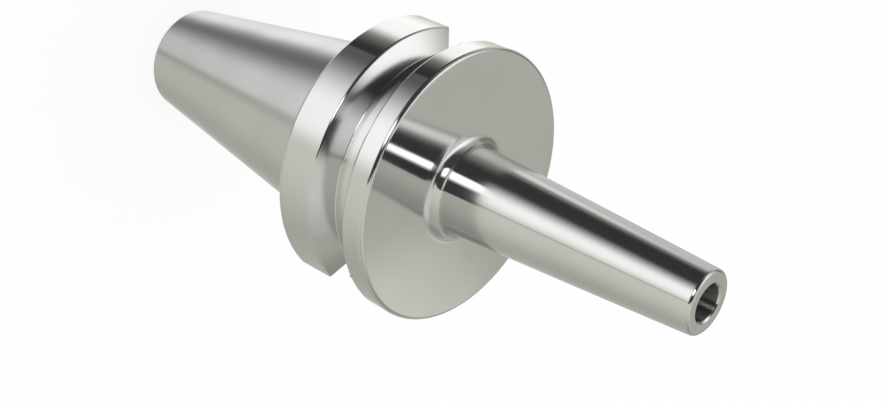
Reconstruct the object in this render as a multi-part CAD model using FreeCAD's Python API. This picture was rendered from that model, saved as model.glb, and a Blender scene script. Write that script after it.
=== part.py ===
import FreeCAD, Part

import math
import os

# Slim shrink fit holder with a 40 size steep taper, turned from one bar of tool steel.
# Millimetres. The axis of the holder is Z. The origin is the middle of the gauge plane,
# where the spindle taper has its nominal diameter. The taper hangs below that plane,
# and the flange and the slim nose stand above it. The drive slots lie along X.

# Spindle taper
gauge_diameter = 44.45
taper_per_length = 7 / 24
taper_length = 65.4
taper_end_bevel = 0.8

# Undercut between the taper and the flange, where the grinding wheel runs out
undercut_length = 2.0
undercut_depth = 0.7

# Flange: a back lip, the V groove for the gripper of the tool changer, and a front lip
flange_diameter = 63.0
back_lip_width = 9.6
groove_width = 10.0
front_lip_width = 5.4
groove_depth = 5.0
groove_angle = 60.0
back_edge_bevel = 0.95
groove_edge_bevel = 0.3
front_edge_rounding = 1.0

# Two drive slots, on opposite sides of the flange, for the drive keys of the spindle. They are
# open towards the taper and end round in the V groove, so that the front lip stays whole.
slot_width = 16.1
slot_length = 19.0
slot_floor_step = 0.375
slot_edge_bevel = 1.2

# The cut for a slot's bevels goes on past the outside, to this many times the size of the bevel
flare_reach = 4

# Tool bore, with room behind the shank for setting its length
tool_diameter = 8.0
clamping_length = 36.0
setting_travel = 10.0
tool_mouth_bevel = 0.25

# Nose that clamps the tool, measured from the gauge plane to its tip
projection_length = 90.0
nose_tip_wall = 3.0
nose_side_angle = 3.0
nose_root_rounding = 3.0
nose_tip_bevel = 0.3

# Thread for a stop screw under the tool bore, left at its tapping diameter. The screw goes in
# through the tool bore.
stop_screw_clearance = 1.0
stop_screw_pitch = 1.0
stop_screw_thread_length = 12.0

# Coolant bore up the middle of the taper
coolant_diameter = 10.0
drill_point_angle = 118.0

# Hole for the pull stud: a pilot for its shoulder, then a thread left at its tapping diameter
stud_thread_diameter = 16.0
stud_thread_pitch = 2.0
stud_hole_depth = 43.0
pilot_clearance = 0.5
pilot_depth = 7.0
pilot_mouth_bevel = 1.0

# Heights along the axis
small_end = -taper_length
flange_back = undercut_length
groove_back = flange_back + back_lip_width
groove_front = groove_back + groove_width
flange_front = groove_front + front_lip_width
nose_tip = projection_length
tool_bore_bottom = nose_tip - clamping_length - setting_travel
stop_screw_bottom = tool_bore_bottom - stop_screw_thread_length

# Radii
gauge_radius = gauge_diameter / 2
small_end_radius = gauge_radius - taper_length * taper_per_length / 2
flange_radius = flange_diameter / 2
groove_root_radius = flange_radius - groove_depth
slot_half_width = slot_width / 2
slot_floor_radius = gauge_radius + slot_floor_step
tool_radius = tool_diameter / 2
nose_tip_radius = tool_radius + nose_tip_wall
nose_root_radius = nose_tip_radius + (nose_tip - flange_front) * math.tan(math.radians(nose_side_angle))
stop_screw_radius = tool_radius - stop_screw_clearance - stop_screw_pitch / 2
coolant_radius = coolant_diameter / 2
stud_thread_radius = stud_thread_diameter / 2
stud_hole_radius = stud_thread_radius - stud_thread_pitch / 2
pilot_radius = stud_thread_radius + pilot_clearance

# Height that a flank of the V groove takes from the rim down to the root
flank_run = groove_depth * math.tan(math.radians(groove_angle / 2))

# How far the side of a drill point climbs for each millimetre towards the axis
drill_point_slope = 1 / math.tan(math.radians(drill_point_angle / 2))


def eased_corner(before, corner, after, style, size):
    """Return the edge that takes a sharp corner off: a flat bevel that starts at the given
    distance from the corner, or an arc of the given radius."""
    to_before = (before - corner).normalize()
    to_after = (after - corner).normalize()
    if style == "bevel":
        return Part.LineSegment(corner + to_before * size, corner + to_after * size)
    half_angle = to_before.getAngle(to_after) / 2
    setback = size / math.tan(half_angle)
    to_centre = (to_before + to_after).normalize()
    middle = corner + to_centre * (size / math.sin(half_angle) - size)
    return Part.Arc(corner + to_before * setback, middle, corner + to_after * setback)


def turned(*corners):
    """Turn a closed outline about the Z axis. A corner is its radius and height, and for an
    eased corner also the style and size of the easing."""
    points = [FreeCAD.Vector(corner[0], 0, corner[1]) for corner in corners]
    edges = []
    reached = points[0]
    for index, corner in enumerate(corners[1:], start=1):
        if len(corner) == 4:
            following = points[(index + 1) % len(points)]
            easing = eased_corner(points[index - 1], points[index], following, corner[2], corner[3])
            edges.append(Part.LineSegment(reached, easing.StartPoint).toShape())
            edges.append(easing.toShape())
            reached = easing.EndPoint
        else:
            edges.append(Part.LineSegment(reached, points[index]).toShape())
            reached = points[index]
    edges.append(Part.LineSegment(reached, points[0]).toShape())
    section = Part.Face(Part.Wire(edges))
    return section.revolve(FreeCAD.Vector(0, 0, 0), FreeCAD.Vector(0, 0, 1), 360)


def blank():
    """The outside of the holder with its V groove, before the slots are cut and the holes bored."""
    undercut_radius = gauge_radius - undercut_depth
    return turned(
        (0, small_end),
        (small_end_radius, small_end, "bevel", taper_end_bevel),
        (gauge_radius, 0),
        (undercut_radius, 0),
        (undercut_radius, flange_back),
        (flange_radius, flange_back, "bevel", back_edge_bevel),
        (flange_radius, groove_back, "bevel", groove_edge_bevel),
        (groove_root_radius, groove_back + flank_run),
        (groove_root_radius, groove_front - flank_run),
        (flange_radius, groove_front, "bevel", groove_edge_bevel),
        (flange_radius, flange_front, "round", front_edge_rounding),
        (nose_root_radius, flange_front, "round", nose_root_rounding),
        (nose_tip_radius, nose_tip, "bevel", nose_tip_bevel),
        (0, nose_tip),
    )


def across_flange(radius, distance):
    """Where a circle about the axis lies along X, at a given distance from the XZ plane."""
    return math.sqrt(radius**2 - distance**2)


def flared_cut(inner_line, outer_line, sweep):
    """A cut across a drive slot that bevels both of its edges. It is as wide as the slot at its
    inner line, wider by a bevel on each side at its outer line, and goes on past the outside."""
    sideways = FreeCAD.Vector(0, 1, 0)
    past_outside = inner_line + (outer_line - inner_line) * flare_reach
    inner_half = sideways * slot_half_width
    outer_half = sideways * (slot_half_width + slot_edge_bevel * flare_reach)
    outline = Part.makePolygon([
        inner_line - inner_half,
        inner_line + inner_half,
        past_outside + outer_half,
        past_outside - outer_half,
        inner_line - inner_half,
    ])
    return Part.Face(outline).extrude(sweep)


def slot_space():
    """The straight slot itself, with a flat floor towards the axis and a round end."""
    open_end = flange_back - slot_half_width
    round_end = flange_back + slot_length
    side_end = round_end - slot_half_width
    left_end = FreeCAD.Vector(slot_floor_radius, -slot_half_width, side_end)
    right_end = FreeCAD.Vector(slot_floor_radius, slot_half_width, side_end)
    open_left = FreeCAD.Vector(slot_floor_radius, -slot_half_width, open_end)
    open_right = FreeCAD.Vector(slot_floor_radius, slot_half_width, open_end)
    sides = Part.makePolygon([left_end, open_left, open_right, right_end])
    end = Part.Arc(left_end, FreeCAD.Vector(slot_floor_radius, 0, round_end), right_end)
    floor = Part.Face(Part.Wire(sides.Edges + [end.toShape()]))
    return floor.extrude(FreeCAD.Vector(flange_radius, 0, 0))


def drive_slot():
    """One drive slot, with the bevels where its sides meet the rim, the back face and the flank."""
    groove_middle = (groove_back + groove_front) / 2
    rim_edge = across_flange(flange_radius, slot_half_width)
    rim_bevel_end = across_flange(flange_radius, slot_half_width + slot_edge_bevel)
    root_edge = across_flange(groove_root_radius, slot_half_width)
    rim_cut = flared_cut(
        FreeCAD.Vector(rim_edge - slot_edge_bevel, 0, 0),
        FreeCAD.Vector(rim_bevel_end, 0, 0),
        FreeCAD.Vector(0, 0, groove_middle),
    )
    back_cut = flared_cut(
        FreeCAD.Vector(slot_floor_radius, 0, flange_back + slot_edge_bevel),
        FreeCAD.Vector(slot_floor_radius, 0, flange_back),
        FreeCAD.Vector(flange_radius, 0, 0),
    )
    # The flank's edge climbs towards the root, so its cut starts outside the rim and follows it
    flank_climb = flank_run / (rim_edge - root_edge)
    bevel_height = slot_edge_bevel * math.hypot(1, flank_climb)
    start_height = groove_back - (flange_radius - rim_edge) * flank_climb - bevel_height
    bevel_rise = bevel_height - (rim_edge - rim_bevel_end) * flank_climb
    flank_cut = flared_cut(
        FreeCAD.Vector(flange_radius, 0, start_height),
        FreeCAD.Vector(flange_radius, 0, start_height + bevel_rise),
        FreeCAD.Vector(-1, 0, flank_climb) * (flange_radius - root_edge),
    )
    return slot_space().fuse([rim_cut, back_cut, flank_cut])


def tool_bore():
    """The bore that grips the shank, with a bevelled mouth, and the stop screw hole below it."""
    return turned(
        (0, stop_screw_bottom),
        (stop_screw_radius, stop_screw_bottom),
        (stop_screw_radius, tool_bore_bottom),
        (tool_radius, tool_bore_bottom),
        (tool_radius, nose_tip - tool_mouth_bevel),
        (tool_radius + tool_mouth_bevel, nose_tip),
        (0, nose_tip),
    )


def coolant_bore():
    """The drilled bore through the taper. The rim of its drill point breaks into the bottom of
    the stop screw hole."""
    point_tip = stop_screw_bottom + stop_screw_radius * drill_point_slope
    return turned(
        (0, small_end),
        (coolant_radius, small_end),
        (coolant_radius, point_tip - coolant_radius * drill_point_slope),
        (0, point_tip),
    )


def stud_hole():
    """The stepped hole in the small end that takes the pull stud."""
    pilot_end = small_end + pilot_depth
    hole_end = small_end + stud_hole_depth
    thread_lead_in = stud_thread_radius - stud_hole_radius
    return turned(
        (0, small_end),
        (pilot_radius + pilot_mouth_bevel, small_end),
        (pilot_radius, small_end + pilot_mouth_bevel),
        (pilot_radius, pilot_end),
        (stud_thread_radius, pilot_end),
        (stud_hole_radius, pilot_end + thread_lead_in),
        (stud_hole_radius, hole_end),
        (0, hole_end + stud_hole_radius * drill_point_slope),
    )


def holder_body():
    """The whole holder, one solid: turned, slotted and bored."""
    slot = drive_slot()
    opposite_slot = slot.mirror(FreeCAD.Vector(0, 0, 0), FreeCAD.Vector(1, 0, 0))
    slotted = blank().cut(slot).cut(opposite_slot)
    return slotted.cut(tool_bore()).cut(coolant_bore()).cut(stud_hole())


os.makedirs("parts", exist_ok=True)
holder = holder_body()
holder.exportStep("parts/holder_body.step")

print("holder_body: valid", holder.isValid(), "solids", len(holder.Solids))
print("volume %.0f mm3, height %.1f mm" % (holder.Volume, holder.BoundBox.ZLength))
print("flange %.2f to %.2f mm" % (flange_back, flange_front))
print("nose root %.2f mm across, slot floors %.2f mm from the axis" % (2 * nose_root_radius, slot_floor_radius))
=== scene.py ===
# %% [markdown]
# # A slim shrink fit tool holder
#
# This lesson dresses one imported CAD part, a steel tool holder, for a studio picture. The part is
# one turned and ground piece: a steep taper that sits in a machine spindle, a flange with a V
# groove and two drive slots, and a long thin nose with a bore that grips a cutter.
#
# Everything is in metres and in the frame of the CAD part. The axis of the holder is Z, the
# middle of the gauge plane is the origin, the taper hangs below it and the nose stands above.

import math

import bmesh
import bpy
import numpy as np
from mathutils import Matrix, Vector


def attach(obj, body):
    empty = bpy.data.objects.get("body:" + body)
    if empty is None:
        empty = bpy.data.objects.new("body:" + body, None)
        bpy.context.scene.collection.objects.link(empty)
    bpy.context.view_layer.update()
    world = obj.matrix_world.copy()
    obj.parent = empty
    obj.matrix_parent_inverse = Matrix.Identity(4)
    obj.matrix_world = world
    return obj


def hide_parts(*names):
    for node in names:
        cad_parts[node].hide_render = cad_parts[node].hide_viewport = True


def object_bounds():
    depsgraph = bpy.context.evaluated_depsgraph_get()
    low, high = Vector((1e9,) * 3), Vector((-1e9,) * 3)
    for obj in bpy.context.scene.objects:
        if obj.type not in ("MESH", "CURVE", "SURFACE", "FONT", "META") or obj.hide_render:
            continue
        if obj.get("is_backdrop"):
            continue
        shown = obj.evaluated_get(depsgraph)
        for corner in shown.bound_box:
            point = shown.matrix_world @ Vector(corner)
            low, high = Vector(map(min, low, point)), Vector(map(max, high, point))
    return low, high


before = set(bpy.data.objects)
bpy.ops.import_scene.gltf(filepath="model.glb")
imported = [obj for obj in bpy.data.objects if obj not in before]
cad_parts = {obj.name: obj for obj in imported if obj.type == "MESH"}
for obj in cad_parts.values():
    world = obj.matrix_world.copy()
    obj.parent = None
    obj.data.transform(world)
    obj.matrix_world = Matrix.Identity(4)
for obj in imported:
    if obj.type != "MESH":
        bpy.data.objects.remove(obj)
cad_box = [list(corner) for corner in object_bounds()]
MM = 0.001
print("CAD nodes:", sorted(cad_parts))
print("CAD box in mm:", [[round(value / MM, 2) for value in corner] for corner in cad_box])

# %% [markdown]
# ## The sizes of the holder
#
# The CAD solid has small flat bevels where the real part has small roundings, because a bevel
# needs few faces. In the picture each edge catches the light as a thin line, so the dressed
# holder gets true roundings. Its sizes repeat the CAD part's, in millimetres.

# %% Sizes in millimetres
GAUGE_RADIUS = 22.225
TAPER_LENGTH = 65.4
TAPER_RISE = 7 / 48
UNDERCUT_DEPTH = 0.7
FLANGE_BACK = 2.0
FLANGE_FRONT = 27.0
FLANGE_RADIUS = 31.5
GROOVE_BACK = 11.6
GROOVE_FRONT = 21.6
GROOVE_DEPTH = 5.0
GROOVE_HALF_ANGLE = math.radians(30)
NOSE_TIP = 90.0
NOSE_TIP_RADIUS = 7.0
NOSE_SIDE_ANGLE = math.radians(3)
TOOL_BORE_RADIUS = 4.0
TOOL_MOUTH_BEVEL = 0.4
TOOL_BORE_BOTTOM = 44.0
STOP_SCREW_RADIUS = 2.5
STOP_SCREW_BOTTOM = 32.0
COOLANT_RADIUS = 5.0
COOLANT_BORE_END = 30.5
STUD_THREAD_RADIUS = 8.0
STUD_CORE_RADIUS = 7.0
STUD_PITCH = 2.0
STUD_HOLE_DEPTH = 43.0
DRILL_POINT_HALF_ANGLE = math.radians(59)
THREAD_RUN_OUT = 5.0
PILOT_RADIUS = 8.5
PILOT_DEPTH = 7.0
PILOT_BEVEL = 1.0
SLOT_HALF_WIDTH = 8.05
SLOT_FLOOR = 22.6
SLOT_LENGTH = 19.0
SLOT_BEVEL = 1.2
print("length over all: %.1f mm" % (TAPER_LENGTH + NOSE_TIP))

# %% Sizes that follow from them
small_end = -TAPER_LENGTH
small_end_radius = GAUGE_RADIUS - TAPER_LENGTH * TAPER_RISE
undercut_radius = GAUGE_RADIUS - UNDERCUT_DEPTH
groove_root = FLANGE_RADIUS - GROOVE_DEPTH
groove_flank_run = GROOVE_DEPTH * math.tan(GROOVE_HALF_ANGLE)
nose_root_radius = NOSE_TIP_RADIUS + (NOSE_TIP - FLANGE_FRONT) * math.tan(NOSE_SIDE_ANGLE)
stud_hole_end = small_end + STUD_HOLE_DEPTH
thread_depth = STUD_THREAD_RADIUS - STUD_CORE_RADIUS
drill_point_run = (STUD_CORE_RADIUS - COOLANT_RADIUS) / math.tan(DRILL_POINT_HALF_ANGLE)
print("radius of the small end: %.2f mm" % small_end_radius)
print("radius of the nose at its root: %.2f mm" % nose_root_radius)
print("each flank of the groove takes %.2f mm along the axis" % groove_flank_run)

# %% [markdown]
# ## The section of the holder
#
# A turned part is described by half of its section. Each corner below is a radius, a height, the
# size of its rounding and the finish of the surface that follows it, listed once round the metal.
# The helper puts a short arc in each rounded corner. For every point it also keeps which way the
# finished surface faces on either side of it. A mirror finish shows the slightest bend of a
# surface, so the shading normals are later set from these directions and not from the faces.

# %% A rounded section
ARC_STEP = math.radians(10)


def facing_right_of(direction):
    """The way that a surface faces when its section is walked in a direction, metal on the left."""
    return math.atan2(-direction.x, direction.y)


def rounded_section(corners):
    """Return the points of a closed section, the facing angles before and after each point, and
    the finish of the edge after it."""
    points, facing, finishes = [], [], []
    for index, (radius, height, rounding, finish) in enumerate(corners):
        corner = Vector((radius, height))
        before = (corner - Vector(corners[index - 1][:2])).normalized()
        after = (Vector(corners[(index + 1) % len(corners)][:2]) - corner).normalized()
        angle_before = facing_right_of(before)
        turn = math.atan2(before.x * after.y - before.y * after.x, before.dot(after))
        steps = max(2, math.ceil(abs(turn) / ARC_STEP)) if rounding else 0
        if not steps:
            points.append(corner)
            facing.append((angle_before, angle_before + turn))
            finishes.append(finish)
            continue
        side = math.copysign(rounding, turn)
        start = corner - before * abs(side) * math.tan(abs(turn) / 2)
        centre = start - Vector((math.cos(angle_before), math.sin(angle_before))) * side
        for step in range(steps + 1):
            angle = angle_before + turn * step / steps
            points.append(centre + Vector((math.cos(angle), math.sin(angle))) * side)
            facing.append((angle, angle))
            finishes.append(finish)
    return points, facing, finishes


print("a rounding turns at most %.0f degrees a step" % math.degrees(ARC_STEP))

# %% The corners of the section
SMALL_END_ROUNDING = 1.2
GAUGE_EDGE_ROUNDING = 0.15
UNDERCUT_ROUNDING = 0.3
FLANGE_EDGE_ROUNDING = 1.0
GROOVE_EDGE_ROUNDING = 0.7
GROOVE_ROOT_ROUNDING = 0.3
NOSE_ROOT_ROUNDING = 3.0
NOSE_TIP_ROUNDING = 0.9
TOOL_MOUTH_ROUNDING = 0.12
TOOL_BEVEL_ROUNDING = 0.2
SHARP = 0.0

SECTION_CORNERS = [
    # the outside, from the small end of the taper up to the tip of the nose
    (small_end_radius, small_end, SMALL_END_ROUNDING, "ground"),
    (GAUGE_RADIUS, 0.0, GAUGE_EDGE_ROUNDING, "ground"),
    (undercut_radius, 0.0, SHARP, "polished"),
    (undercut_radius, FLANGE_BACK, UNDERCUT_ROUNDING, "polished"),
    (FLANGE_RADIUS, FLANGE_BACK, FLANGE_EDGE_ROUNDING, "polished"),
    (FLANGE_RADIUS, GROOVE_BACK, GROOVE_EDGE_ROUNDING, "honed"),
    (groove_root, GROOVE_BACK + groove_flank_run, GROOVE_ROOT_ROUNDING, "honed"),
    (groove_root, GROOVE_FRONT - groove_flank_run, GROOVE_ROOT_ROUNDING, "honed"),
    (FLANGE_RADIUS, GROOVE_FRONT, GROOVE_EDGE_ROUNDING, "polished"),
    (FLANGE_RADIUS, FLANGE_FRONT, FLANGE_EDGE_ROUNDING, "honed"),
    (nose_root_radius, FLANGE_FRONT, NOSE_ROOT_ROUNDING, "honed"),
    (NOSE_TIP_RADIUS, NOSE_TIP, NOSE_TIP_ROUNDING, "honed"),
    # the inside, from the mouth of the tool bore down to the hole for the pull stud
    (TOOL_BORE_RADIUS + TOOL_MOUTH_BEVEL, NOSE_TIP, TOOL_MOUTH_ROUNDING, "honed"),
    # the bore faces take the bored steel, whose darker colour is painted shade
    (TOOL_BORE_RADIUS, NOSE_TIP - TOOL_MOUTH_BEVEL, TOOL_BEVEL_ROUNDING, "bored"),
    (TOOL_BORE_RADIUS, TOOL_BORE_BOTTOM, SHARP, "bored"),
    (STOP_SCREW_RADIUS, TOOL_BORE_BOTTOM, SHARP, "bored"),
    (STOP_SCREW_RADIUS, STOP_SCREW_BOTTOM, SHARP, "bored"),
    (COOLANT_RADIUS, COOLANT_BORE_END, SHARP, "bored"),
    (COOLANT_RADIUS, stud_hole_end + drill_point_run, SHARP, "bored"),
    (STUD_CORE_RADIUS, stud_hole_end, SHARP, "bored"),
    (STUD_CORE_RADIUS, stud_hole_end - THREAD_RUN_OUT, SHARP, "bored"),
    (STUD_THREAD_RADIUS, stud_hole_end - THREAD_RUN_OUT - thread_depth, SHARP, "bored"),
    (STUD_THREAD_RADIUS, small_end + PILOT_DEPTH, SHARP, "bored"),
    (PILOT_RADIUS, small_end + PILOT_DEPTH, SHARP, "bored"),
    (PILOT_RADIUS, small_end + PILOT_BEVEL, SHARP, "bored"),
    (PILOT_RADIUS + PILOT_BEVEL, small_end, SHARP, "ground"),
]
section_points, section_facing, section_finishes = rounded_section(SECTION_CORNERS)
print("section:", len(SECTION_CORNERS), "corners,", len(section_points), "points")

# %% [markdown]
# ## Cutters for the drive slots
#
# Two keys on the spindle drive the holder through slots in its flange. A slot is milled along
# the axis: it has a flat floor, ends round in the V groove, and has a bevel along each edge. Each
# cutter is a prism, a closed outline swept along a line. One prism is the slot itself, and three
# wider ones, whose sides flare at the outside, make the bevels at the rim, the back face and the
# flank of the groove. A box and a cylinder joined together could cut the slot as well, but the
# bevels would still need prisms, and four simple shapes are easy to check.

# %% Prisms
FLARE_REACH = 4


def prism(bm, outline, sweep):
    """Add a closed prism to a bmesh: a flat outline of points, swept along a vector."""
    near = [bm.verts.new(point) for point in outline]
    far = [bm.verts.new(Vector(point) + sweep) for point in outline]
    bm.faces.new(near)
    bm.faces.new(reversed(far))
    for index in range(len(outline)):
        following = (index + 1) % len(outline)
        bm.faces.new((near[following], near[index], far[index], far[following]))


def flared_prism(bm, inner_line, outer_line, sweep):
    """Add a prism that is as wide as the slot at its inner line and a bevel wider on each side at
    its outer line, and goes on flaring past it."""
    outer = inner_line + (outer_line - inner_line) * FLARE_REACH
    inner_half = Vector((0, SLOT_HALF_WIDTH, 0))
    outer_half = Vector((0, SLOT_HALF_WIDTH + SLOT_BEVEL * FLARE_REACH, 0))
    outline = [
        inner_line - inner_half,
        inner_line + inner_half,
        outer + outer_half,
        outer - outer_half,
    ]
    prism(bm, outline, sweep)


def across_flange(radius, distance):
    """Where a circle about the axis lies along X, at a given distance from the XZ plane."""
    return math.sqrt(radius**2 - distance**2)


print("sides of a slot meet the rim at X = %.2f mm" % across_flange(FLANGE_RADIUS, SLOT_HALF_WIDTH))

# %% The four prisms of a slot
SLOT_ARC_STEPS = 24


def slot_outline():
    """The outline of the slot on its floor, with its round end in short steps."""
    open_end = FLANGE_BACK - SLOT_HALF_WIDTH
    arc_centre = FLANGE_BACK + SLOT_LENGTH - SLOT_HALF_WIDTH
    outline = [Vector((SLOT_FLOOR, side, open_end)) for side in (SLOT_HALF_WIDTH, -SLOT_HALF_WIDTH)]
    for step in range(SLOT_ARC_STEPS + 1):
        angle = math.pi * step / SLOT_ARC_STEPS
        across = -SLOT_HALF_WIDTH * math.cos(angle)
        outline.append(Vector((SLOT_FLOOR, across, arc_centre + SLOT_HALF_WIDTH * math.sin(angle))))
    return outline


def add_slot_prism(bm, name):
    """Add one of the four prisms of the slot that lies towards +X."""
    rim = across_flange(FLANGE_RADIUS, SLOT_HALF_WIDTH)
    rim_bevel_end = across_flange(FLANGE_RADIUS, SLOT_HALF_WIDTH + SLOT_BEVEL)
    if name == "Slot":
        prism(bm, slot_outline(), Vector((FLANGE_RADIUS, 0, 0)))
    elif name == "Rim Bevel":
        start = Vector((rim - SLOT_BEVEL, 0, 0))
        end = Vector((rim_bevel_end, 0, 0))
        flared_prism(bm, start, end, Vector((0, 0, (GROOVE_BACK + GROOVE_FRONT) / 2)))
    elif name == "Back Bevel":
        start = Vector((SLOT_FLOOR, 0, FLANGE_BACK + SLOT_BEVEL))
        end = Vector((SLOT_FLOOR, 0, FLANGE_BACK))
        flared_prism(bm, start, end, Vector((FLANGE_RADIUS, 0, 0)))
    else:
        # the flank's edge climbs towards the root of the groove, and its bevel follows it
        root = across_flange(groove_root, SLOT_HALF_WIDTH)
        climb = groove_flank_run / (rim - root)
        height = SLOT_BEVEL * math.hypot(1, climb)
        rise = height - (rim - rim_bevel_end) * climb
        flank_start = GROOVE_BACK - (FLANGE_RADIUS - rim) * climb - height
        start = Vector((FLANGE_RADIUS, 0, flank_start))
        end = Vector((FLANGE_RADIUS, 0, flank_start + rise))
        flared_prism(bm, start, end, Vector((-1, 0, climb)) * (FLANGE_RADIUS - root))


print("outline of a slot:", len(slot_outline()), "points")

# %% Cutter meshes
SLOT_CUTTERS = ("Slot", "Rim Bevel", "Back Bevel", "Flank Bevel")


def slot_cutter(name):
    """Return one prism and its twin on the opposite side of the flange, as one object."""
    bm = bmesh.new()
    add_slot_prism(bm, name)
    opposite = bmesh.ops.duplicate(bm, geom=bm.verts[:] + bm.edges[:] + bm.faces[:])
    moved = [part for part in opposite["geom"] if isinstance(part, bmesh.types.BMVert)]
    bmesh.ops.transform(bm, matrix=Matrix.Rotation(math.pi, 4, "Z"), verts=moved)
    bmesh.ops.scale(bm, vec=(MM, MM, MM), verts=bm.verts[:])
    bmesh.ops.recalc_face_normals(bm, faces=bm.faces[:])
    mesh = bpy.data.meshes.new(name)
    bm.to_mesh(mesh)
    bm.free()
    cutter = bpy.data.objects.new(name, mesh)
    bpy.context.scene.collection.objects.link(cutter)
    return cutter


slot_cutters = {name: slot_cutter(name) for name in SLOT_CUTTERS}
for name, cutter in slot_cutters.items():
    print("cutter for", name.lower() + ":", len(cutter.data.polygons), "faces")

# %% [markdown]
# ## Small helpers for nodes
#
# Geometry, finishes and the studio are all built from nodes. These helpers add one node at a time,
# with its values and links given by the names of its sockets, so that each tree below reads as a
# list of what it does.

# %% Helpers for nodes


def add_node(tree, kind, sockets=None, **settings):
    """Add a node. Each socket gets a value, or a link if it is given another node's output."""
    node = tree.nodes.new(kind)
    for name, value in settings.items():
        setattr(node, name, value)
    for key, value in (sockets or {}).items():
        if isinstance(value, bpy.types.NodeSocket):
            tree.links.new(value, node.inputs[key])
        else:
            node.inputs[key].default_value = value
    return node


def calculate(tree, operation, first, second=0.0, third=0.0):
    """Add a Math node and return its output."""
    values = {0: first, 1: second, 2: third}
    return add_node(tree, "ShaderNodeMath", values, operation=operation).outputs["Value"]


print("helpers for nodes:", add_node.__name__, "and", calculate.__name__)

# %% [markdown]
# ## Turning the section with Geometry Nodes
#
# A lathe turns a section about an axis, and Curve to Mesh does the same: it sweeps the section
# along a circle. A spin in mesh code would do as well, but the tree keeps the number of segments
# as a named input and takes the drive slots out in the same place. The swept section's X runs
# outwards from the path and its Y runs down the axis, so the section is drawn that way, and the
# faces are flipped, because a section drawn upside down comes out inside out.

# %% A tree that turns and slots


def new_geometry_tree(name, inputs):
    """Return a new tree with a geometry output, and its input and output nodes. The inputs are
    pairs of a name and a socket type."""
    tree = bpy.data.node_groups.new(name, "GeometryNodeTree")
    for socket_name, socket_type in inputs:
        tree.interface.new_socket(socket_name, in_out="INPUT", socket_type=socket_type)
    tree.interface.new_socket("Geometry", in_out="OUTPUT", socket_type="NodeSocketGeometry")
    return tree, tree.nodes.new("NodeGroupInput"), tree.nodes.new("NodeGroupOutput")


def finish_tree(tree, geometry, given, output):
    """End a tree in Realize Instances and Set Material."""
    realize = add_node(tree, "GeometryNodeRealizeInstances", {"Geometry": geometry})
    set_material = add_node(tree, "GeometryNodeSetMaterial", {
        "Geometry": realize.outputs["Geometry"], "Material": given.outputs["Material"],
    })
    tree.links.new(set_material.outputs["Geometry"], output.inputs["Geometry"])


def lathe_tree():
    """Build the tree that turns a section and takes the slots out of it."""
    tree, given, output = new_geometry_tree("Turned and slotted", [
        ("Section", "NodeSocketGeometry"),
        ("Segments", "NodeSocketInt"),
        ("Path Radius", "NodeSocketFloat"),
        *((name, "NodeSocketObject") for name in SLOT_CUTTERS),
        ("Material", "NodeSocketMaterial"),
    ])
    outline = add_node(tree, "GeometryNodeMeshToCurve", {"Mesh": given.outputs["Section"]})
    path = add_node(tree, "GeometryNodeCurvePrimitiveCircle", {
        "Resolution": given.outputs["Segments"], "Radius": given.outputs["Path Radius"],
    })
    sweep = add_node(tree, "GeometryNodeCurveToMesh", {
        "Curve": path.outputs["Curve"], "Profile Curve": outline.outputs["Curve"],
    })
    flip = add_node(tree, "GeometryNodeFlipFaces", {"Mesh": sweep.outputs["Mesh"]})
    whole = {"Mesh 1": flip.outputs["Mesh"]}
    cut = add_node(tree, "GeometryNodeMeshBoolean", whole, operation="DIFFERENCE", solver="MANIFOLD")
    for name in SLOT_CUTTERS:
        cutter = add_node(tree, "GeometryNodeObjectInfo", {"Object": given.outputs[name]})
        tree.links.new(cutter.outputs["Geometry"], cut.inputs["Mesh 2"])
    finish_tree(tree, cut.outputs["Mesh"], given, output)
    return tree


lathe = lathe_tree()
print("lathe:", len(lathe.nodes), "nodes,", len(lathe.links), "links")

# %% Turn the holder
PATH_RADIUS = 5.0
SEGMENTS = 384
FINISH_NAMES = ("polished", "honed", "ground", "bored", "milled")


def made_by_tree(name, base_mesh, tree, values):
    """Run a tree on a mesh and return the result as a new object with a plain mesh. Each value
    goes to the input socket of its name, by the socket's identifier."""
    maker = bpy.data.objects.new(name + "_maker", base_mesh)
    bpy.context.scene.collection.objects.link(maker)
    modifier = maker.modifiers.new("tree", "NODES")
    modifier.node_group = tree
    for item in tree.interface.items_tree:
        if item.in_out == "INPUT" and item.name in values:
            modifier[item.identifier] = values[item.name]
    evaluated = maker.evaluated_get(bpy.context.evaluated_depsgraph_get())
    mesh = bpy.data.meshes.new_from_object(evaluated)
    mesh.name = name
    maker.modifiers.remove(modifier)
    bpy.data.objects.remove(maker)
    piece = bpy.data.objects.new(name, mesh)
    bpy.context.scene.collection.objects.link(piece)
    return piece


steel = {finish: bpy.data.materials.new(finish + " steel") for finish in FINISH_NAMES}

point_count = len(section_points)
section_mesh = bpy.data.meshes.new("section")
section_places = [((point.x - PATH_RADIUS) * MM, -point.y * MM, 0) for point in section_points]
section_loop = [(index, (index + 1) % point_count) for index in range(point_count)]
section_mesh.from_pydata(section_places, section_loop, [])
holder = made_by_tree("holder", section_mesh, lathe, {
    "Segments": SEGMENTS,
    "Path Radius": PATH_RADIUS * MM,
    "Material": steel["polished"],
    **slot_cutters,
})
print("holder:", len(holder.data.vertices), "vertices,", len(holder.data.polygons), "faces")

# %% [markdown]
# ## Normals and finishes from the section
#
# Each face now looks up the edge of the section that it was turned from. That edge says how the
# face is finished, and which way the real surface faces at each of the face's corners. A face that
# lies on no edge of the section is a wall of a slot: it keeps the normals that Blender gives it.
# Smooth shading alone would average the normals of unequal faces, and the reflections would bend.

# %% Look up the section


def section_edges(points, facing):
    """Return the edges of the section as arrays: where each one starts, its run and its length, and
    the facing angles at its start and its end."""
    starts = np.array([tuple(point) for point in points])
    runs = np.roll(starts, -1, axis=0) - starts
    lengths = np.linalg.norm(runs, axis=1)
    from_angle = np.array([after for before, after in facing])
    to_angle = np.roll(np.array([before for before, after in facing]), -1)
    to_angle = from_angle + (to_angle - from_angle + math.pi) % (2 * math.pi) - math.pi
    return starts, runs, lengths, from_angle, to_angle


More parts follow.
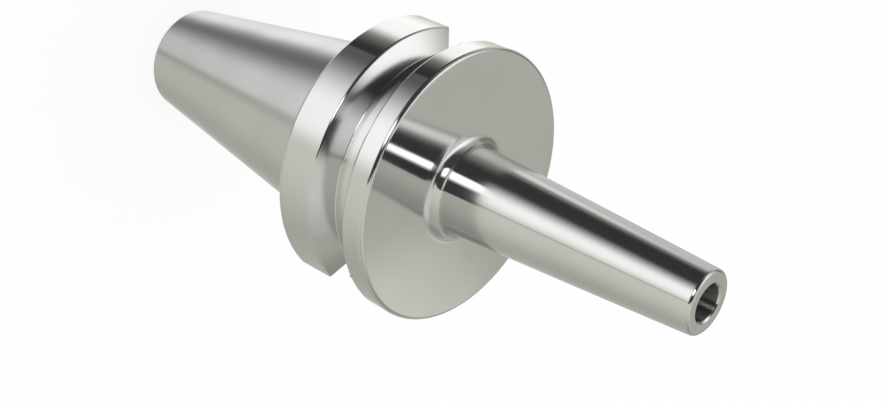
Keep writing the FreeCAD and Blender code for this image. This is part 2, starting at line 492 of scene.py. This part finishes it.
def nearest_edge(place, starts, runs, lengths):
    """The number of the section's edge that is nearest to a place on the section's plane."""
    offset = place - starts
    along = np.clip((offset * runs).sum(axis=1) / lengths**2, 0, 1)
    return int(np.argmin(np.linalg.norm(offset - runs * along[:, None], axis=1)))


def facing_at(angle, side):
    """The direction of a facing angle, on the side of the axis that a flat unit vector gives."""
    return (side[0] * math.cos(angle), side[1] * math.cos(angle), math.sin(angle))


edge_lengths = section_edges(section_points, section_facing)[2]
print("edges of the section: %.2f to %.2f mm long" % (edge_lengths.min(), edge_lengths.max()))

# %% Set normals and finishes
SHARP_ANGLE = math.radians(25)
WALL_TILT = math.radians(8)


def dress_turned_mesh(mesh, points, facing, finishes, wall_finish):
    """Set the corner normals and the material of every face of a turned mesh, and return how many
    of its faces are walls of a slot."""
    mesh.shade_smooth()
    mesh.set_sharp_from_angle(angle=SHARP_ANGLE)
    positions = np.empty(len(mesh.vertices) * 3)
    mesh.vertices.foreach_get("co", positions)
    positions = positions.reshape(-1, 3) / MM
    profile = np.stack([np.hypot(positions[:, 0], positions[:, 1]), positions[:, 2]], axis=1)
    starts, runs, lengths, from_angle, to_angle = section_edges(points, facing)
    corner_normals = np.array([tuple(corner.vector) for corner in mesh.corner_normals])
    order = [*dict.fromkeys(finishes), wall_finish]
    mesh.materials.clear()
    for finish in order:
        mesh.materials.append(steel[finish])
    walls = 0
    for face in mesh.polygons:
        corners = list(face.vertices)
        edge = nearest_edge(profile[corners].mean(axis=0), starts, runs, lengths)
        middle = positions[corners].mean(axis=0)[:2]
        half_way = (from_angle[edge] + to_angle[edge]) / 2
        expected = Vector(facing_at(half_way, middle / np.linalg.norm(middle)))
        if expected.angle(face.normal, math.pi) > WALL_TILT:
            face.material_index = len(order) - 1
            walls += 1
            continue
        face.material_index = order.index(finishes[edge])
        turn = to_angle[edge] - from_angle[edge]
        for loop, vertex in zip(face.loop_indices, corners):
            share = np.dot(profile[vertex] - starts[edge], runs[edge]) / lengths[edge] ** 2
            angle = from_angle[edge] + turn * min(max(share, 0), 1)
            side = positions[vertex][:2] / profile[vertex][0]
            corner_normals[loop] = facing_at(angle, side)
    mesh.normals_split_custom_set([tuple(normal) for normal in corner_normals])
    return walls


section = (section_points, section_facing, section_finishes)
wall_count = dress_turned_mesh(holder.data, *section, "milled")
print("faces on the walls of the slots:", wall_count)
for place, material in enumerate(holder.data.materials):
    print(material.name, "faces:", sum(face.material_index == place for face in holder.data.polygons))
for cutter in slot_cutters.values():
    bpy.data.objects.remove(cutter)

# %% [markdown]
# ## The thread for the pull stud
#
# The hole in the small end has an M16 thread. The CAD solid leaves it at its tapping diameter, so
# here the hole is as wide as the thread's outside and a ridge winds up it: a spiral curve with a
# four cornered profile. The ridge fades into the wall at both ends, where its radius goes to zero.
# A bump map would be quicker, but the light in a deep thread needs its real shape.

# %% A ridge along a spiral
THINNEST_RIDGE = 0.02


def thread_tree():
    """Build the tree that sweeps a ridge along a spiral and fades both its ends."""
    tree, given, output = new_geometry_tree("Thread ridge", [
        ("Profile", "NodeSocketGeometry"),
        ("Turns", "NodeSocketFloat"),
        ("Steps per Turn", "NodeSocketInt"),
        ("Radius", "NodeSocketFloat"),
        ("Pitch", "NodeSocketFloat"),
        ("Fade Turns", "NodeSocketFloat"),
        ("Start Height", "NodeSocketFloat"),
        ("Material", "NodeSocketMaterial"),
    ])
    turns = given.outputs["Turns"]
    spiral = add_node(tree, "GeometryNodeCurveSpiral", {
        "Resolution": given.outputs["Steps per Turn"],
        "Rotations": turns,
        "Start Radius": given.outputs["Radius"],
        "End Radius": given.outputs["Radius"],
        "Height": calculate(tree, "MULTIPLY", turns, given.outputs["Pitch"]),
    })
    lift = add_node(tree, "ShaderNodeCombineXYZ", {"Z": given.outputs["Start Height"]})
    lifted = add_node(tree, "GeometryNodeSetPosition", {
        "Geometry": spiral.outputs["Curve"], "Offset": lift.outputs["Vector"],
    })
    along = add_node(tree, "GeometryNodeSplineParameter")
    turns_done = calculate(tree, "MULTIPLY", along.outputs["Factor"], turns)
    turns_left = calculate(tree, "SUBTRACT", turns, turns_done)
    nearest_end = calculate(tree, "MINIMUM", turns_done, turns_left)
    fade = calculate(tree, "DIVIDE", nearest_end, given.outputs["Fade Turns"])
    fade = calculate(tree, "MINIMUM", fade, 1.0)
    ridge = add_node(tree, "GeometryNodeMeshToCurve", {"Mesh": given.outputs["Profile"]})
    sweep = add_node(tree, "GeometryNodeCurveToMesh", {
        "Curve": lifted.outputs["Geometry"],
        "Profile Curve": ridge.outputs["Curve"],
        "Scale": calculate(tree, "MAXIMUM", fade, THINNEST_RIDGE),
        "Fill Caps": True,
    })
    finish_tree(tree, sweep.outputs["Mesh"], given, output)
    return tree


winder = thread_tree()
print("winder:", len(winder.nodes), "nodes,", len(winder.links), "links")

# %% Wind the thread
THREAD_BASE_HALF = 0.88
THREAD_CREST_HALF = 0.28
THREAD_ROOT_SINK = 0.15
THREAD_STEPS_PER_TURN = 72
FADE_TURNS = 0.6
THREAD_START_GAP = 0.9
THREAD_END_GAP = 1.5

ridge_profile = bpy.data.meshes.new("ridge_profile")
ridge_corners = [
    (THREAD_ROOT_SINK, -THREAD_BASE_HALF),
    (THREAD_ROOT_SINK, THREAD_BASE_HALF),
    (-thread_depth, THREAD_CREST_HALF),
    (-thread_depth, -THREAD_CREST_HALF),
]
ridge_places = [(x * MM, y * MM, 0) for x, y in ridge_corners]
ridge_profile.from_pydata(ridge_places, [(0, 1), (1, 2), (2, 3), (3, 0)], [])
thread_start = small_end + PILOT_DEPTH + THREAD_START_GAP
thread_turns = (stud_hole_end - THREAD_RUN_OUT - THREAD_END_GAP - thread_start) / STUD_PITCH
stud_thread = made_by_tree("stud_thread", ridge_profile, winder, {
    "Turns": thread_turns,
    "Steps per Turn": THREAD_STEPS_PER_TURN,
    "Radius": STUD_THREAD_RADIUS * MM,
    "Pitch": STUD_PITCH * MM,
    "Fade Turns": FADE_TURNS,
    "Start Height": thread_start * MM,
    # the darker colour of the bored steel is painted shade inside the hole
    "Material": steel["bored"],
})
stud_thread.data.shade_smooth()
stud_thread.data.set_sharp_from_angle(angle=SHARP_ANGLE)
print("thread: %.1f turns," % thread_turns, len(stud_thread.data.polygons), "faces")

# %% [markdown]
# ## Checking both meshes
#
# A solid thing has a closed mesh whose faces point outwards. Its volume is then positive and every
# edge joins two faces, which is quick to measure and finds a shape that was turned inside out.

# %% Measure both meshes


def measured(mesh):
    """The volume of a mesh in cubic millimetres, and how many of its edges don't join two faces."""
    bm = bmesh.new()
    bm.from_mesh(mesh)
    volume = bm.calc_volume(signed=True)
    open_edges = sum(1 for edge in bm.edges if len(edge.link_faces) != 2)
    bm.free()
    return round(volume / MM**3, 1), open_edges


for piece in (holder, stud_thread):
    print(piece.name, "volume and open edges:", measured(piece.data))

# %% [markdown]
# ## Helpers for colours and masks
#
# The finishes and the studio both need soft steps from one value to another and colours laid over
# each other, so these get helpers too. A node group is a tree that is built once and used in many
# places with its own values, and the last helper starts one.

# %% Helpers for colours and masks


def eased(tree, value, start, end):
    """Return 0 before the start, 1 after the end, and a smooth step between."""
    sockets = {"Value": value, "From Min": start, "From Max": end}
    step = add_node(tree, "ShaderNodeMapRange", sockets, interpolation_type="SMOOTHSTEP")
    return step.outputs["Result"]


def blended(tree, share, under, over):
    """Mix two colours: the share is how much of the second one shows. A Mix node has a set of
    sockets for each kind of value, so the ones for colours are found by their numbers."""
    sockets = {0: share, 6: under, 7: over}
    return add_node(tree, "ShaderNodeMix", sockets, data_type="RGBA").outputs[2]


def new_shader_group(name, inputs, outputs):
    """Return a new shader node group, and its input and output nodes. Inputs are a name, a type and
    a value to start from, outputs a name and a type."""
    group = bpy.data.node_groups.new(name, "ShaderNodeTree")
    for socket_name, kind, value in inputs:
        socket = group.interface.new_socket(socket_name, in_out="INPUT", socket_type=kind)
        socket.default_value = value
    for socket_name, kind in outputs:
        group.interface.new_socket(socket_name, in_out="OUTPUT", socket_type=kind)
    return group, group.nodes.new("NodeGroupInput"), group.nodes.new("NodeGroupOutput")


FLOAT, COLOUR = "NodeSocketFloat", "NodeSocketColor"
print("types of sockets for groups:", FLOAT, "and", COLOUR)

# %% [markdown]
# ## Turning marks
#
# Every surface here was turned or ground, and even a polished one keeps very faint lines that run
# round the axis. They only show as a slight break in a reflection. The pattern is noise that
# changes quickly along the section, in radius and height, and slowly round the axis, so each line
# is nearly a full circle. A second, wider noise gives the soft smudges that handling leaves. A
# picture of scratches would do as well, but it would repeat and need unwrapping.

# %% Node group for turning marks


def turning_marks_group():
    """Height of fine lines round the axis, and a mask of wide soft smudges."""
    group, given, output = new_shader_group("Turning Marks", [
        ("Spacing", FLOAT, 0.00015),
        ("Wander", FLOAT, 0.6),
        ("Smudge Size", FLOAT, 0.012),
    ], [("Height", FLOAT), ("Smudge", FLOAT)])
    place = add_node(group, "ShaderNodeTexCoord")
    x, y, z = add_node(group, "ShaderNodeSeparateXYZ", {0: place.outputs["Object"]}).outputs
    x_squared = calculate(group, "MULTIPLY", x, x)
    y_squared = calculate(group, "MULTIPLY", y, y)
    radius = calculate(group, "SQRT", calculate(group, "ADD", x_squared, y_squared))
    across = calculate(group, "DIVIDE", radius, given.outputs["Spacing"])
    along = calculate(group, "DIVIDE", z, given.outputs["Spacing"])
    angle = calculate(group, "ARCTAN2", y, x)
    cosine = calculate(group, "COSINE", angle)
    sine = calculate(group, "SINE", angle)
    wander_x = calculate(group, "MULTIPLY", cosine, given.outputs["Wander"])
    wander_y = calculate(group, "MULTIPLY", sine, given.outputs["Wander"])
    section = add_node(group, "ShaderNodeCombineXYZ", {
        "X": calculate(group, "ADD", across, wander_x), "Y": along, "Z": wander_y,
    })
    lines = add_node(group, "ShaderNodeTexNoise", {
        "Vector": section.outputs["Vector"], "Scale": 1.0, "Detail": 3.0, "Roughness": 0.6,
    })
    smudge_scale = calculate(group, "DIVIDE", 1.0, given.outputs["Smudge Size"])
    smudges = add_node(group, "ShaderNodeTexNoise", {
        "Vector": place.outputs["Object"], "Scale": smudge_scale, "Detail": 1.0, "Roughness": 0.3,
    })
    group.links.new(lines.outputs["Fac"], output.inputs["Height"])
    group.links.new(eased(group, smudges.outputs["Fac"], 0.2, 0.8), output.inputs["Smudge"])
    return group


turning_marks = turning_marks_group()
for socket in turning_marks.interface.items_tree:
    print("Turning Marks", socket.in_out.lower() + ":", socket.name)

# %% [markdown]
# ## The finishes of the steel
#
# One steel has five finishes. The rims of the flange are polished and mirror the room. The groove,
# the faces and the nose are honed, a touch softer. The taper is ground, so its reflections are soft.
# The bores stay as the tool left them, and their steel is darker than the rest: painted shade that
# darkens the inside of the bores and the thread. The slots are milled. Each material has the same
# marks with its own spacing, depth and roughness.
#
# Lines that all run one way spread a reflection across them and not along them. The Anisotropic
# input of the Principled BSDF does this, and a Tangent node that runs round Z says which way the
# lines go. Smudges make the steel a little duller and rougher. The change is kept small, because a
# render's noise filter treats shiny and rough metal differently, and the border would show.

# %% Steel materials
STEEL_COLOUR = (0.66, 0.66, 0.66)
FINISHES = {
    # finish: colour, roughness, share of lines that run one way, their spacing and depth in metres
    "polished": (STEEL_COLOUR, 0.075, 0.8, 0.00018, 2e-7),
    "honed": (STEEL_COLOUR, 0.11, 0.92, 0.00018, 4e-7),
    "ground": (STEEL_COLOUR, 0.25, 0.9, 0.0004, 1e-6),
    # the bores' colour is darker than the steel's own: painted shade inside the bores and the thread
    "bored": ((0.35, 0.35, 0.36), 0.36, 1.0, 0.0002, 3e-6),
    "milled": ((0.6, 0.6, 0.59), 0.2, 0.5, 0.0003, 3e-6),
}
SMUDGE_COLOUR_SHARE = 0.96
LEAST_ROUGH_SHARE = 0.94
MOST_ROUGH_SHARE = 1.06
QUARTER_TURN = 0.25


def finish_steel(material, colour, roughness, one_way, spacing, depth):
    """Give a material the nodes of one finish of steel."""
    material.use_nodes = True
    tree = material.node_tree
    shader = tree.nodes["Principled BSDF"]
    marks = add_node(tree, "ShaderNodeGroup", node_tree=turning_marks)
    marks.inputs["Spacing"].default_value = spacing
    smudged = tuple(SMUDGE_COLOUR_SHARE * value for value in colour)
    tint = blended(tree, marks.outputs["Smudge"], (*colour, 1), (*smudged, 1))
    rough = add_node(tree, "ShaderNodeMapRange", {
        "Value": marks.outputs["Smudge"],
        "To Min": LEAST_ROUGH_SHARE * roughness,
        "To Max": MOST_ROUGH_SHARE * roughness,
    })
    bump = add_node(tree, "ShaderNodeBump", {
        "Height": marks.outputs["Height"], "Distance": depth, "Strength": 1.0,
    })
    tangent = add_node(tree, "ShaderNodeTangent", direction_type="RADIAL", axis="Z")
    shader.inputs["Metallic"].default_value = 1.0
    shader.inputs["Anisotropic"].default_value = one_way
    shader.inputs["Anisotropic Rotation"].default_value = QUARTER_TURN
    tree.links.new(tint, shader.inputs["Base Color"])
    tree.links.new(rough.outputs["Result"], shader.inputs["Roughness"])
    tree.links.new(bump.outputs["Normal"], shader.inputs["Normal"])
    tree.links.new(tangent.outputs["Tangent"], shader.inputs["Tangent"])


for finish, values in FINISHES.items():
    finish_steel(steel[finish], *values)
    print(finish, "steel: colour", values[0], "roughness", values[1])

# %% [markdown]
# ## The studio that the steel mirrors
#
# Polished steel has hardly a look of its own: what shows is the room. So the room is built as a
# photographer would, from pale walls, a few large soft boxes, a strip lamp and black cards that
# draw the dark lines along the shape. All of it stands far away, in the world shader, as panels
# between two bearings and two heights, with soft or sharp edges. Only what is mirrored sees them.
# For the camera and for plain light the room is white. Boxes and cards could also be objects with
# lamps in them, but they would stand in the way of the other views and add noise.

# %% Node group for one panel of the studio
PANEL_SIDES = (
    "Rise Start", "Rise End", "Fall Start", "Fall End",
    "Low Start", "Low End", "High Start", "High End",
)


def studio_panel_group():
    """Lay one panel over the colour beneath it. Its sides are angles in degrees."""
    group, given, output = new_shader_group("Studio Panel", [
        ("Bearing", FLOAT, 0.0),
        ("Height", FLOAT, 0.0),
        *((side, FLOAT, 0.0) for side in PANEL_SIDES),
        ("Lean", FLOAT, 0.0),
        ("Panel", COLOUR, (1, 1, 1, 1)),
        ("Beneath", COLOUR, (0, 0, 0, 1)),
    ], [("Colour", COLOUR)])
    sides = {side: given.outputs[side] for side in PANEL_SIDES}
    lean = calculate(group, "MULTIPLY", given.outputs["Height"], given.outputs["Lean"])
    bearing = calculate(group, "SUBTRACT", given.outputs["Bearing"], lean)
    rise = eased(group, bearing, sides["Rise Start"], sides["Rise End"])
    fall = eased(group, bearing, sides["Fall End"], sides["Fall Start"])
    low = eased(group, given.outputs["Height"], sides["Low Start"], sides["Low End"])
    high = eased(group, given.outputs["Height"], sides["High End"], sides["High Start"])
    within_bearings = calculate(group, "MULTIPLY", rise, fall)
    within_heights = calculate(group, "MULTIPLY", low, high)
    share = calculate(group, "MULTIPLY", within_bearings, within_heights)
    colour = blended(group, share, given.outputs["Beneath"], given.outputs["Panel"])
    group.links.new(colour, output.inputs["Colour"])
    return group


studio_panel = studio_panel_group()
print("a panel has", len(PANEL_SIDES), "sides:", ", ".join(PANEL_SIDES))

# %% [markdown]
# ## The panels
#
# Bearings run anticlockwise round the axis from +X, in degrees, and heights are above the level of
# the object. The list is laid in order, so a later panel covers an earlier one. A brightness of 1
# is the white of the background. Bearings start at 20, so a panel behind 0 has bearings past 360.
# A leaning panel moves along its bearings with the height, as a tilted board does. The angles were
# found one by one: each band on the steel shows which way it mirrors, and a panel was put there.

# %% The panels of the studio
WALL_BRIGHTNESS = 0.53
WALL_TINT = (1.0, 1.005, 0.9)
PAPER_TINT = (1.0, 1.0, 0.96)
BOX_TINT = (1.0, 1.0, 0.985)
CARD_TINT = (0.97, 1.01, 1.0)
PANELS = [
    # name, bearings, heights, brightness, lean, tint
    ("pale wall", (262, 270, 306, 380), (-95, -94, 65, 71), 0.8, 0, WALL_TINT),
    ("left dim wall", (28, 40, 54, 68), (6, 14, 38, 46), 0.38, 0, WALL_TINT),
    ("far corner", (104, 114, 136, 150), (-6, 2, 20, 28), 0.28, 0, WALL_TINT),
    ("back box", (60, 92, 169, 184), (-95, -94, -35, -30), 1.38, 0, BOX_TINT),
    ("back box seam", (103, 110, 118, 145), (-95, -94, -36, -30), 0.72, 0, WALL_TINT),
    ("middle band", (50, 94, 164, 179), (-35, -29, -6, 2), 0.7, 0.3, BOX_TINT),
    ("side card", (62, 74, 106, 118), (-31, -27, 2, 8), 0.34, 0, WALL_TINT),
    ("corner glow", (149, 159, 166, 174), (-34, -30, -26, -21), 0.98, 0, BOX_TINT),
    ("face wall", (86, 91, 108, 118), (26, 30, 42, 50), 0.585, 0, WALL_TINT),
    ("face light", (70, 82, 84, 88), (28, 31, 35, 40), 0.86, 0, WALL_TINT),
    ("top soft box", (0, 10, 130, 150), (44, 52, 94, 95), 0.78, 0, BOX_TINT),
    ("dark card", (150, 181, 245, 250), (-72, -62, 0, 8), 0.045, -0.4, CARD_TINT),
    ("key box", (231, 273, 278, 306), (-95, -94, -8, 10), 1.36, 0.3, BOX_TINT),
    ("low step", (201, 202, 250, 260), (-95, -94, -36, -33), 0.14, 0, CARD_TINT),
    ("low key", (208, 258, 270, 300), (-95, -94, -36, -31), 1.36, 0, BOX_TINT),
    ("floor wall", (250, 290, 340, 368), (-95, -94, -47, -42), 0.65, 0, WALL_TINT),
    ("floor glow", (50, 72, 95, 108), (-95, -94, -47, -42), 1.1, 0, BOX_TINT),
    ("floor box", (95, 108, 150, 176), (-95, -94, -47, -42), 1.0, 0, BOX_TINT),
    ("floor box end", (124, 144, 174, 184), (-95, -94, -47, -42), 1.28, 0, BOX_TINT),
    ("floor card", (161, 179, 262, 292), (-95, -94, -47, -42), 0.1, 0, PAPER_TINT),
    ("floor key", (190, 250, 276, 295), (-95, -94, -47, -42), 1.0, 0, BOX_TINT),
    ("floor seam", (280, 290, 294, 304), (-95, -94, -47, -42), 0.5, 0, WALL_TINT),
    ("table edge", (185, 195, 300, 315), (-95, -94, -70, -64), 0.05, 0, CARD_TINT),
    ("ceiling dark", (170, 215, 297, 298), (1, 5, 94, 95), 0.055, 0, CARD_TINT),
    ("high dark", (290, 296, 319, 333), (66, 72, 94, 95), 0.05, 0, CARD_TINT),
    ("left high wall", (321, 337, 390, 391), (42, 64, 94, 95), 0.8, 0, PAPER_TINT),
    ("strip lamp", (244, 251, 259, 272), (5, 22, 47, 58), 3.0, 0, BOX_TINT),
    ("ceiling lamp", (212, 230, 238, 260), (66, 74, 94, 95), 0.62, 0, PAPER_TINT),
    ("right high box", (104, 138, 147, 172), (20, 44, 84, 94), 1.5, 0.5, BOX_TINT),
    ("dark seam", (290, 293, 294, 297), (-33, -30, 4, 9), 0.6, 0, WALL_TINT),
]
print("studio panels:", len(PANELS))

# %% [markdown]
# ## The world
#
# The world shader works out where a mirrored ray goes and lays the panels over the wall one by one.
# Light Path tells it which rays were mirrored by something glossy. All others see plain white.

# %% Build the world
FIRST_BEARING = 20.0
LAST_BEARING = FIRST_BEARING + 360.0


def tinted(brightness, tint):
    """The colour of a panel of a brightness."""
    return (*(brightness * share for share in tint), 1)


def mirrored_room(tree):
    """Lay every panel over the wall, and return the colour in the direction of a ray."""
    direction = add_node(tree, "ShaderNodeTexCoord")
    x, y, z = add_node(tree, "ShaderNodeSeparateXYZ", {0: direction.outputs["Generated"]}).outputs
    turn = calculate(tree, "DEGREES", calculate(tree, "ARCTAN2", y, x))
    bearing = calculate(tree, "WRAP", turn, LAST_BEARING, FIRST_BEARING)
    height = calculate(tree, "DEGREES", calculate(tree, "ARCSINE", z))
    colour = tinted(WALL_BRIGHTNESS, WALL_TINT)
    for name, bearings, heights, brightness, lean, tint in PANELS:
        panel = add_node(tree, "ShaderNodeGroup", node_tree=studio_panel, label=name)
        sockets = dict(zip(PANEL_SIDES, bearings + heights))
        sockets["Lean"] = lean
        sockets["Panel"] = tinted(brightness, tint)
        for side, value in sockets.items():
            panel.inputs[side].default_value = value
        tree.links.new(bearing, panel.inputs["Bearing"])
        tree.links.new(height, panel.inputs["Height"])
        if isinstance(colour, bpy.types.NodeSocket):
            tree.links.new(colour, panel.inputs["Beneath"])
        else:
            panel.inputs["Beneath"].default_value = colour
        colour = panel.outputs["Colour"]
    return colour


def studio_world():
    """Build the world: the studio for what is mirrored, white for the rest."""
    world = bpy.data.worlds.new("studio")
    world.use_nodes = True
    tree = world.node_tree
    light = add_node(tree, "ShaderNodeLightPath")
    seen = blended(tree, light.outputs["Is Glossy Ray"], (1, 1, 1, 1), mirrored_room(tree))
    tree.links.new(seen, tree.nodes["Background"].inputs["Color"])
    return world


bpy.context.scene.world = studio_world()
bpy.context.scene.view_settings.view_transform = "Standard"
print("nodes in the world:", len(bpy.context.scene.world.node_tree.nodes))

# %% [markdown]
# ## The floor
#
# The holder stands on its small end on a pale floor that reaches past the picture. Most of the
# floor's white is its own, so the background is clean, and the rest is lit, which keeps the soft
# shadow of the holder. From below the floor is clear, so that the small end can be looked at too.

# %% Floor
FLOOR_HALF = 3000.0
FLOOR_GAP = 0.05
FLOOR_OWN_WHITE = 0.85
FLOOR_TONES = (0.97, 0.98)


def pale_floor_material():
    """White paper with a faint grain, partly lit and partly white of its own, clear from below."""
    material = bpy.data.materials.new("pale floor")
    material.use_nodes = True
    tree = material.node_tree
    tree.nodes.remove(tree.nodes["Principled BSDF"])
    place = add_node(tree, "ShaderNodeTexCoord")
    grain = add_node(tree, "ShaderNodeTexNoise", {
        "Vector": place.outputs["Object"], "Scale": 6.0, "Detail": 3.0,
    })
    dark, light = ((tone, tone, tone, 1) for tone in FLOOR_TONES)
    paper = blended(tree, grain.outputs["Fac"], dark, light)
    lit = add_node(tree, "ShaderNodeBsdfDiffuse", {"Color": paper})
    own = add_node(tree, "ShaderNodeEmission", {"Color": (1, 1, 1, 1), "Strength": 1.0})
    both = add_node(tree, "ShaderNodeMixShader", {
        0: FLOOR_OWN_WHITE, 1: lit.outputs["BSDF"], 2: own.outputs["Emission"],
    })
    side = add_node(tree, "ShaderNodeNewGeometry")
    clear = add_node(tree, "ShaderNodeBsdfTransparent")
    one_sided = add_node(tree, "ShaderNodeMixShader", {
        0: side.outputs["Backfacing"], 1: both.outputs["Shader"], 2: clear.outputs["BSDF"],
    })
    tree.links.new(one_sided.outputs["Shader"], tree.nodes["Material Output"].inputs["Surface"])
    return material


def pale_floor():
    """Add the floor just under the holder and mark it as stage."""
    reach = FLOOR_HALF * MM
    height = (small_end - FLOOR_GAP) * MM
    corners = [(-reach, -reach), (reach, -reach), (reach, reach), (-reach, reach)]
    mesh = bpy.data.meshes.new("floor")
    mesh.from_pydata([(x, y, height) for x, y in corners], [], [(0, 1, 2, 3)])
    mesh.materials.append(pale_floor_material())
    floor = bpy.data.objects.new("floor", mesh)
    bpy.context.scene.collection.objects.link(floor)
    floor.visible_glossy = False
    floor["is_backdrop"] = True
    return floor


floor = pale_floor()
print("floor at %.2f mm" % (floor.data.vertices[0].co.z / MM))

# %% [markdown]
# ## The camera
#
# The picture looks down on the holder from the front, with the camera turned on its side, so the
# standing holder lies slanting across the frame with its nose to the lower right. Its place and
# the point that it looks at are in metres, its lens in millimetres.

# %% Camera
CAMERA_PLACE = Vector((0, -0.259374, 0.205878))
CAMERA_AIM = Vector((0.004766, 0, 0.023441))
CAMERA_ROLL = math.radians(116.051)
CAMERA_LENS = 59.133
CAMERA_NEAR_LIMIT = 0.01

camera_data = bpy.data.cameras.new("camera")
camera_data.lens = CAMERA_LENS
camera_data.clip_start = CAMERA_NEAR_LIMIT
camera = bpy.data.objects.new("camera", camera_data)
bpy.context.scene.collection.objects.link(camera)
level = (CAMERA_AIM - CAMERA_PLACE).to_track_quat("-Z", "Y").to_matrix()
turned_camera = level @ Matrix.Rotation(CAMERA_ROLL, 3, "Z")
camera.matrix_world = Matrix.Translation(CAMERA_PLACE) @ turned_camera.to_4x4()
bpy.context.scene.camera = camera
print("camera to holder: %.0f mm" % ((CAMERA_AIM - CAMERA_PLACE).length / MM))

# %% [markdown]
# ## Fixing the pieces to the frame
#
# The part has one body, and both pieces ride on it. The turned piece replaces the CAD solid, and
# both keep its kind of steel. The two boxes are printed, to compare the sizes.

# %% Ride, replace and compare the boxes
for piece in (holder, stud_thread):
    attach(piece, "root")
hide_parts("holder_body")

visual_box = [list(corner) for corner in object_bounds()]
for name, box in (("CAD", cad_box), ("visual", visual_box)):
    print(name, "box in mm:", [[round(value / MM, 2) for value in corner] for corner in box])
